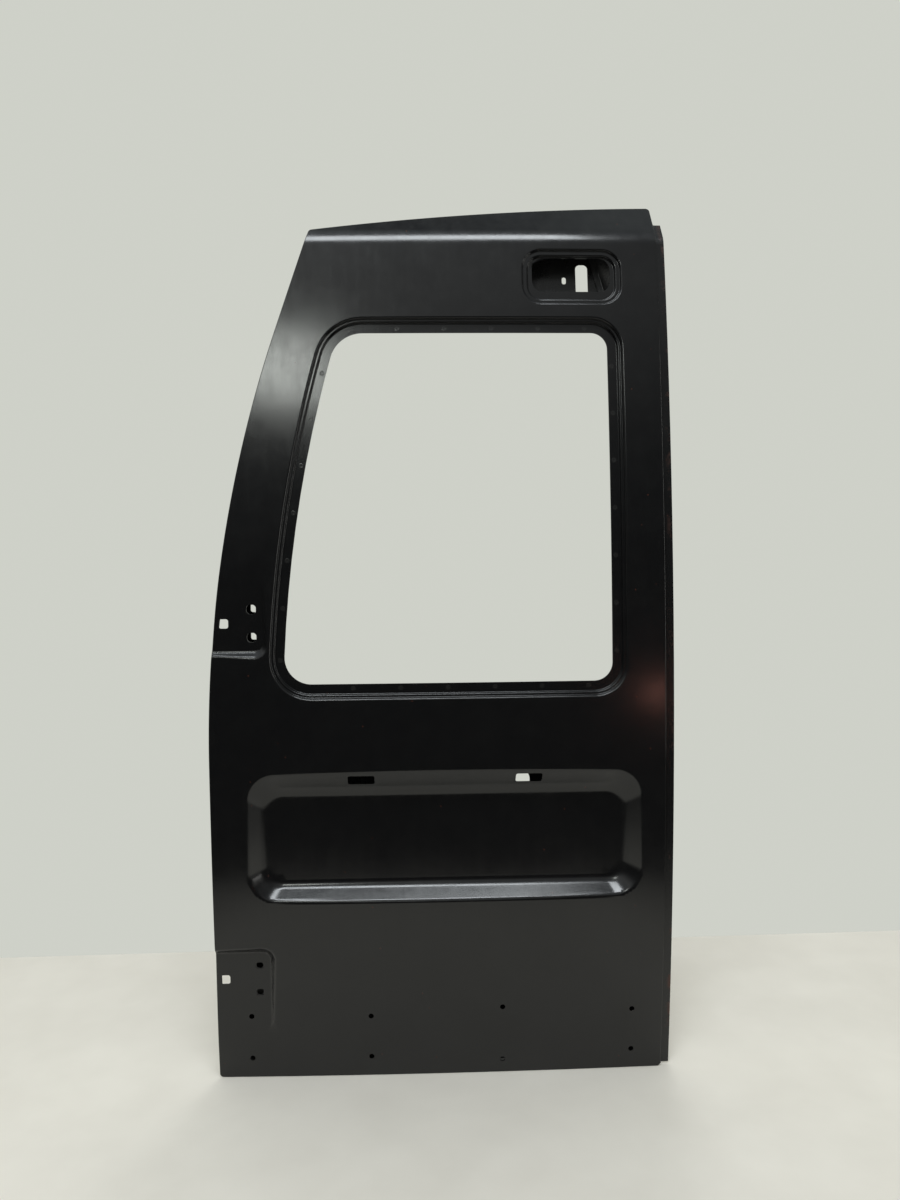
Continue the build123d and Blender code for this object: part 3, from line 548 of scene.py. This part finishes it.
def new_piece(name, places, sides, smooth=True):
    """A new piece from places in the door's own millimetres and the sides between them."""
    mesh = bpy.data.meshes.new(name)
    mesh.from_pydata(((np.asarray(places) - door_corner) / 1000).tolist(), [], sides)
    if smooth:
        mesh.polygons.foreach_set("use_smooth", [True] * len(mesh.polygons))
    piece = bpy.data.objects.new(name, mesh)
    bpy.context.scene.collection.objects.link(piece)
    return piece


def primed(name, coat, gloss_loss, dust):
    """A new finish of dip primer: its material, its node tree and what the primer puts out."""
    finish = bpy.data.materials.new(name)
    finish.use_nodes = True
    values = {"Coat": (*coat, 1), "Gloss Loss": gloss_loss, "Dust": dust}
    layer = shader(finish.node_tree, "Group", values, node_tree=primer)
    return finish, finish.node_tree, layer.outputs


def bumped(tree, height, strength, distance):
    """A bump node that reads a height."""
    settings = {"Height": height, "Strength": strength, "Distance": distance}
    return shader(tree, "Bump", settings)


def dress(tree, colour, rough, bump):
    """Lead a finish's colour, roughness and bump to its own shader."""
    coat = tree.nodes["Principled BSDF"].inputs
    for name, value in (("Base Color", colour), ("Roughness", rough), ("Normal", bump.outputs[0])):
        tree.links.new(value, coat[name])


sheets = [tuple(int(corner) for corner in face) for face in sheets]
skin = new_piece("skin", np.concatenate(points), sheets)
skin.data.normals_split_custom_set_from_vertices(np.concatenate(directions).tolist())
skin_finish, tree, layer = primed("skin_primer_finish", (0.0052, 0.0052, 0.0057), 0.14, 0.5)
dress(tree, layer["Color"], layer["Roughness"], bumped(tree, layer["Height"], 0.06, 0.0004))
skin.data.materials.append(skin_finish)
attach(skin, "root")
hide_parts("outer_skin")


# ---- Spot welds ----
# Round pinches every few centimetres, where the skin and the inner panel are welded together round
# the window. The electrode leaves a shallow dish with a faint raised ring, and the primer covers both.
weld_sides, weld_gap, weld_inset, weld_dish = 14, 68.0, 6.5, 0.02
weld_rings = ((1.7, weld_dish), (2.3, 0.07), (2.8, 0.09), (3.3, 0.06), (3.9, -0.02))
weld_spots, weld_faces = [], []
angles = np.linspace(0, 2 * math.pi, weld_sides, endpoint=False)[:, None]
gone, last = 0.0, window[-1]
for spot, direction in zip(window, window_out):
    gone += np.linalg.norm(spot - last)
    last = spot
    if gone < weld_gap:
        continue
    gone = 0.0
    x, z = spot + direction * weld_inset
    out = facing_out(crown, np.array([x]), np.array([z]))[0]
    middle = np.array((x, float(crown(x, z)) - rebate_depth / out[1], z))
    across = np.cross(out, (0.0, 0.0, 1.0))
    across = across / np.linalg.norm(across)
    up = np.cross(across, out)
    ring = np.cos(angles) * across + np.sin(angles) * up
    first = len(weld_spots)
    weld_spots.append(middle + weld_dish * out)
    for reach, proud in weld_rings:
        weld_spots.extend(middle + reach * ring + proud * out)
    for side in range(weld_sides):
        after = (side + 1) % weld_sides
        weld_faces.append((first, first + 1 + side, first + 1 + after))
        for step in range(len(weld_rings) - 1):
            low = first + 1 + step * weld_sides
            high = low + weld_sides
            weld_faces.append((low + side, high + side, high + after, low + after))
welds = new_piece("spot_welds", weld_spots, weld_faces)
weld_finish, tree, layer = primed("spot_weld_finish", (0.012, 0.012, 0.012), 0.2, 0.8)
dress(tree, layer["Color"], layer["Roughness"], bumped(tree, layer["Height"], 0.15, 0.0004))
welds.data.materials.append(weld_finish)
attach(welds, "root")


# ---- Inner panel ----
# A deep-drawn tray of 0.8 mm steel with stiffening beads and openings for the latch, lamps and hands.
# It sits inside the skin's hem; the primer is thinner and duller here, with drips below the openings
# and dust along the ledges.
def finish_nodes(finish, *names):
    """Give parts of the frame their finish."""
    for name in names:
        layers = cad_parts[name].data.materials
        layers.clear()
        layers.append(finish)


panel_finish, tree, layer = primed("panel_primer_finish", (0.0085, 0.0085, 0.009), 0.24, 1.0)
place = shader(tree, "TexCoord").outputs["Object"]
dripped = ramp(tree, streaks(tree, place, (70.0, 70.0, 3.5), 4.0), (0.52, 0.0), (0.72, 1.0))
stained = blend(tree, maths(tree, "MULTIPLY", dripped, 0.10), layer["Color"], (0.10, 0.10, 0.10, 1))
peel_bump = bumped(tree, layer["Height"], 0.10, 0.0004)
drip_bump = bumped(tree, dripped, 0.05, 0.0003)
tree.links.new(peel_bump.outputs[0], drip_bump.inputs["Normal"])
dress(tree, stained, layer["Roughness"], drip_bump)
finish_nodes(panel_finish, "inner_panel")


# ---- Rails ----
# Two hat-section rails of 1 mm steel, roll-formed and spot-welded across the inside of the tray. They
# hang in the hollow of the door, where the dip leaves a dull coat with a fine grain.
rail_finish, tree, layer = primed("rail_primer_finish", (0.009, 0.009, 0.0095), 0.30, 0.7)
place = shader(tree, "TexCoord").outputs["Object"]
lines = streaks(tree, place, (4.0, 300.0, 300.0), 3.0)
dress(tree, layer["Color"], layer["Roughness"], bumped(tree, lines, 0.12, 0.0003))
finish_nodes(rail_finish, "waist_rail", "lower_rail")


# ---- Plates ----
# Thick stamped plates behind the hinges, latches, striker and check strap, spot-welded to the sheets.
# The thicker steel heats slower in the oven, so their primer is greyer and matt, with mill scale
# showing through.
plate_finish, tree, layer = primed("plate_primer_finish", (0.016, 0.016, 0.017), 0.34, 0.6)
place = shader(tree, "TexCoord").outputs["Object"]
scaled = ramp(tree, noise(tree, place, 160.0, 6.0), (0.50, 0.0), (0.66, 1.0))
scale_share = maths(tree, "MULTIPLY", scaled, 0.35)
mottled = blend(tree, scale_share, layer["Color"], (0.035, 0.034, 0.034, 1))
dress(tree, mottled, layer["Roughness"], bumped(tree, scaled, 0.15, 0.0003))
finish_nodes(plate_finish, "upper_hinge_plate", "lower_hinge_plate", "upper_latch_plate",
             "lower_latch_plate", "striker_plate", "check_strap_plate")


# ---- Lamp cheek ----
# A bent sheet of 1 mm steel beside the stop-lamp hole, spot-welded by its foot to the upper latch
# plate. It shuts off the hollow on the latch side, and its bend is the faint slanted line inside the
# pocket.
cheek_rows, cheek_bend = np.linspace(-22.0, 68.0, 19), 2.0
cheek_tip, cheek_edge = -11.0, 66.0
foot_root, foot_slant, foot_width = 57.3, 0.257, 10.0
foot_depth, foot_tilt, foot_middle = -40.19, 0.0081, 9.7
cheek_front, cheek_back = [], []
for rise in cheek_rows:
    root = foot_root - foot_slant * rise
    foot_level = foot_depth - foot_tilt * (rise - foot_middle)
    angle = math.atan2(cheek_tip - foot_level, cheek_edge - root)
    profile = [(root - foot_width, foot_level, 0.0)]
    for turned in np.linspace(0.0, angle, 7):
        profile.append((root - cheek_bend + cheek_bend * math.sin(turned),
                        foot_level + cheek_bend * (1 - math.cos(turned)), turned))
    climb = (cheek_tip - profile[-1][1]) / math.sin(angle)
    profile.append((profile[-1][0] + climb * math.cos(angle), cheek_tip, angle))
    for across, depth, turned in profile:
        face = lamp_place + across * lamp_across + rise * lamp_up + depth * lamp_out
        cheek_front.append(face)
        cheek_back.append(face - math.cos(turned) * lamp_out + math.sin(turned) * lamp_across)
wide, tall = len(profile), len(cheek_rows)
behind = wide * tall
cheek_faces = []
for row in range(tall - 1):
    for step in range(wide - 1):
        a = row * wide + step
        quad = (a, a + 1, a + wide + 1, a + wide)
        cheek_faces += [quad, tuple(behind + corner for corner in quad[::-1])]
rim = list(range(wide)) + [row * wide + wide - 1 for row in range(1, tall)]
rim += [(tall - 1) * wide + step for step in range(wide - 2, -1, -1)]
rim += [row * wide for row in range(tall - 2, 0, -1)]
cheek_faces += [(b, a, behind + a, behind + b) for a, b in zip(rim, rim[1:] + rim[:1])]
cheek = new_piece("lamp_cheek", cheek_front + cheek_back, cheek_faces, smooth=False)
cheek.data.materials.append(plate_finish)
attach(cheek, "root")


# ---- Closing flange ----
# A joggled strip of 1 mm steel welded behind the closing edge, for the other door to shut against.
# Handling has rubbed its outer edge down to the brown of flash rust in places.
rub_start, rub_end = 0.6500, 0.6590
flange_finish, tree, layer = primed("flange_primer_finish", (0.0055, 0.0055, 0.006), 0.22, 0.4)
place = shader(tree, "TexCoord").outputs["Object"]
across = shader(tree, "SeparateXYZ", {0: place}).outputs["X"]
rub_range = {"Value": across, "From Min": rub_start, "From Max": rub_end}
outer_edge = shader(tree, "MapRange", rub_range).outputs[0]
patches = streaks(tree, place, (30.0, 30.0, 22.0), 7.0, roughness=0.65)
rusty = maths(tree, "MULTIPLY", ramp(tree, patches, (0.56, 0.0), (0.66, 1.0)), outer_edge)
rust_share = maths(tree, "MULTIPLY", rusty, 0.8)
worn = blend(tree, rust_share, layer["Color"], (0.075, 0.024, 0.014, 1))
rough = maths(tree, "ADD", layer["Roughness"], maths(tree, "MULTIPLY", rusty, 0.3))
dress(tree, worn, rough, bumped(tree, layer["Height"], 0.12, 0.0004))
finish_nodes(flange_finish, "closing_flange")


# ---- Seam sealer ----
# A bead of grey-black sealing paste, laid from a nozzle along the folded edge at the back to keep
# water out of the hem. It is left a little wavy and satin, and stops short of the closing flange.
seam_sides, seam_end, seam_inset, seam_depth = 10, 655.0, 6.6, 2.1
seam_spots, seam_faces = [], []
angles = np.linspace(0, 2 * math.pi, seam_sides, endpoint=False)[:, None]
sealed = edge[:, 0] < seam_end
path, path_out = edge[sealed], edge_out[sealed]
jump = int(np.argmax(np.linalg.norm(np.roll(path, -1, axis=0) - path, axis=1))) + 1
path, path_out = np.roll(path, -jump, axis=0), np.roll(path_out, -jump, axis=0)
along = np.cumsum(np.r_[0, np.linalg.norm(np.diff(path, axis=0), axis=1)])
thick = 1.45 + 0.22 * np.sin(along / 9.0) * np.sin(along / 31.0 + 1.0)
drift = 0.25 * np.sin(along / 47.0) * np.sin(along / 13.0)
for spot, direction, size, shift in zip(path, path_out, thick, drift):
    x, z = (spot - direction * (seam_inset + shift))[:, None]
    out = facing_out(skin_depth, x, z)[0]
    middle = np.array((x[0], float(skin_depth(x, z)[0]), z[0])) - seam_depth * out
    sideways = np.array((direction[0], 0.0, direction[1]))
    seam_spots.extend(middle + size * (np.cos(angles) * sideways - np.sin(angles) * out))
for step in range(len(path) - 1):
    low, high = step * seam_sides, (step + 1) * seam_sides
    for side in range(seam_sides):
        after = (side + 1) % seam_sides
        seam_faces.append((low + side, high + side, high + after, low + after))
seam_faces.append(tuple(range(seam_sides)))
seam_faces.append(tuple(range(len(seam_spots) - 1, len(seam_spots) - seam_sides - 1, -1)))
seam = new_piece("seam_sealer", seam_spots, seam_faces)
paste = bpy.data.materials.new("seam_paste")
paste.use_nodes = True
tree = paste.node_tree
lumps = noise(tree, shader(tree, "TexCoord").outputs["Object"], 140.0, 4.0)
tint = blend(tree, ramp(tree, lumps, (0.35, 0.0), (0.7, 1.0)), (0.020, 0.020, 0.021, 1),
             (0.034, 0.034, 0.035, 1))
satin = ramp(tree, lumps, (0.3, 0.42), (0.7, 0.6))
dress(tree, tint, satin, bumped(tree, lumps, 0.3, 0.0006))
seam.data.materials.append(paste)
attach(seam, "root")


# ---- Floor ----
# A sheet of pale paper that the shell stands on, a little cloudy in tone. Toward its sides, and only
# in what the door's gloss mirrors, the paper is painted dark: painted shade seen in reflections.
floor_level, floor_front, floor_back = -0.1585, -0.72, 0.435
floor_mesh = bpy.data.meshes.new("floor")
floor_mesh.from_pydata([(-1.0, floor_front, floor_level), (1.6, floor_front, floor_level),
                        (1.9, floor_back, floor_level), (-1.3, floor_back, floor_level)],
                       [], [(0, 1, 2, 3)])
floor = bpy.data.objects.new("floor", floor_mesh)
bpy.context.scene.collection.objects.link(floor)
paper = bpy.data.materials.new("paper")
paper.use_nodes = True
tree = paper.node_tree
place = shader(tree, "TexCoord").outputs["Object"]
cloudy = ramp(tree, noise(tree, place, 9.0, 5.0), (0.3, 0.0), (0.75, 1.0))
shade = blend(tree, cloudy, (0.80, 0.765, 0.715, 1), (0.86, 0.825, 0.775, 1))
spot = shader(tree, "SeparateXYZ", {0: place}).outputs
# Painted shade: the paper's colour goes dark toward its sides, for glossy rays alone.
aside = maths(tree, "ABSOLUTE", maths(tree, "SUBTRACT", spot["X"], 0.30), 0.0)
aside = maths(tree, "SUBTRACT", aside, maths(tree, "MULTIPLY", spot["Y"], 0.6))
painted_shade_fade = shader(tree, "MapRange", {"Value": aside, "From Min": 0.72, "From Max": 1.12}).outputs[0]
painted_shade_in_gloss = maths(tree, "MULTIPLY", painted_shade_fade, shader(tree, "LightPath").outputs["Is Glossy Ray"])
shade = blend(tree, painted_shade_in_gloss, shade, (0.10, 0.095, 0.09, 1))
matt = tree.nodes["Principled BSDF"].inputs
tree.links.new(shade, matt["Base Color"])
matt["Roughness"].default_value = 0.6
floor_mesh.materials.append(paper)


# ---- Room ----
# Pale surroundings light the floor and stand behind the door. What the door's gloss mirrors is the
# room in front: dim up to eye level and to the right, pale above, and dark right overhead.
room = bpy.data.worlds.new("room")
bpy.context.scene.world = room
room.use_nodes = True
tree = room.node_tree
tree.nodes.clear()
dim, pale, wall = (0.010, 0.010, 0.011), (0.62, 0.635, 0.58, 1), (0.54, 0.553, 0.505, 1)
way = shader(tree, "SeparateXYZ", {0: shader(tree, "TexCoord").outputs["Generated"]}).outputs
ray = shader(tree, "LightPath").outputs
high = ramp(tree, way["Z"], (0.10, dim), (0.30, (0.09, 0.093, 0.095)), (0.56, (0.68, 0.70, 0.69)),
            (0.72, (0.55, 0.58, 0.59)), (0.92, (0.8, 0.86, 0.92)), (0.98, (0.6, 0.67, 0.68)),
            (1.0, (0.15, 0.165, 0.18)))
rear_range = {"Value": way["Y"], "From Min": 0.15, "From Max": 0.45}
rear = shader(tree, "MapRange", rear_range).outputs[0]
right_range = {"Value": way["X"], "From Min": -0.25, "From Max": 0.45}
right_hand = shader(tree, "MapRange", right_range).outputs[0]
ahead = blend(tree, maths(tree, "MULTIPLY", right_hand, 0.7), high, (*dim, 1))
seen = blend(tree, rear, ahead, pale)
backdrop = blend(tree, ray["Is Diffuse Ray"], pale, wall)
colour = blend(tree, ray["Is Glossy Ray"], backdrop, seen)
sky = shader(tree, "Background", {"Color": colour})
shader(tree, "OutputWorld", {"Surface": sky.outputs[0]})


# ---- Lamps ----
# A long soft lamp high in front draws the line along the roll, and a small one far to the left the
# pillar's glow. One behind lights the tray, a tall strip on the right draws the line along the fold,
# in gloss alone, and a weak warm one low on the right leaves its tint on the closing edge.
def lamp(name, place, target, size, power, colour, spin=0.0):
    """One soft lamp that looks at a target, turned about that line by an angle in degrees."""
    data = bpy.data.lights.new(name, "AREA")
    data.shape = "RECTANGLE"
    data.size, data.size_y = size
    data.energy = power
    data.color = colour
    holder = bpy.data.objects.new(name, data)
    bpy.context.scene.collection.objects.link(holder)
    holder.location = place
    aim = (Vector(target) - Vector(place)).to_track_quat("-Z", "Y")
    holder.rotation_euler = (aim @ Quaternion((0, 0, 1), math.radians(spin))).to_euler()
    return holder


lamp("high_front", (0.18, -1.36, 3.3), (0.18, -0.4, 0.0), (1.66, 0.6), 44, (0.92, 0.97, 1.0), spin=12)
lamp("left_window", (-0.55, -2.75, 2.33), (0.05, 0.03, 0.95), (0.5, 0.46), 9.0, (0.95, 1.0, 0.94))
lamp("far_side", (0.9, 2.2, 2.3), (0.3, 0.1, 0.5), (1.2, 0.5), 9.0, (1.0, 1.0, 0.97))
strip = lamp("right_strip", (2.6, -0.9, 0.9), (0.65, 0.0, 0.9), (0.42, 2.0), 13, (1.0, 1.0, 0.96))
strip.visible_diffuse = False
lamp("warm_corner", (1.225, -2.0, 0.232), (0.6, 0.0, 0.4), (0.05, 0.13), 0.165, (1.0, 0.42, 0.32))


# ---- Camera ----
# The photo's place and angle: a step back from the door and a little above its middle, turned
# slightly to the right and looking a little down.
eye = (0.2569, -1.3449, 0.6755)
yaw, pitch, roll = math.radians(2.752), math.radians(4.158), math.radians(0.495)
look = Vector((math.sin(yaw) * math.cos(pitch), math.cos(yaw) * math.cos(pitch), -math.sin(pitch)))
level = Vector((math.cos(yaw), -math.sin(yaw), 0))
below = look.cross(level)
right = level * math.cos(roll) + below * math.sin(roll)
down = below * math.cos(roll) - level * math.sin(roll)
lens = bpy.data.cameras.new("camera")
lens.sensor_width = 36
lens.lens = 27
camera = bpy.data.objects.new("camera", lens)
bpy.context.scene.collection.objects.link(camera)
turn = Matrix((right, -down, -look)).transposed()
camera.matrix_world = Matrix.Translation(eye) @ turn.to_4x4()
bpy.context.scene.camera = camera
bpy.context.scene.view_settings.view_transform = "Standard"
